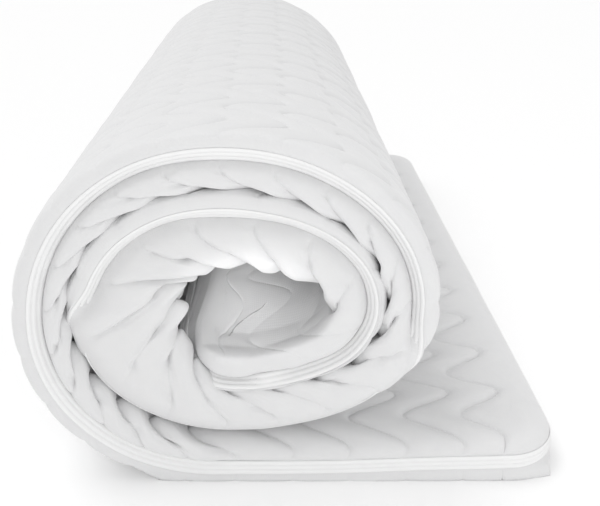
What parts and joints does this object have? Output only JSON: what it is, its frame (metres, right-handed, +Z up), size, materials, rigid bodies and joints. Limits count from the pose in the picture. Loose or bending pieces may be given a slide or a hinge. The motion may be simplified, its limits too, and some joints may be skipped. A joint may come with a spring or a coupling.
{
  "type": "mattress topper",
  "caption": "Quilted knit mattress topper with a ribbed edge tape and rounded corners, rolled up from one end with its other end lying flat.",
  "frame": {"origin": "middle of the bounding box's bottom face, on the floor", "axes": "+Z up, +Y along the roll, which is the topper's width, away from the end seen in the picture, +X towards the flat tail"},
  "size_m": [0.5086, 0.9, 0.3479],
  "materials": {
    "quilted_knit": "matt",
    "woven_tape": "matt"
  },
  "bodies": {
    "root": {"quilted_pad": "quilted_knit", "edge_tape": "woven_tape"}
  },
  "joints": []
}
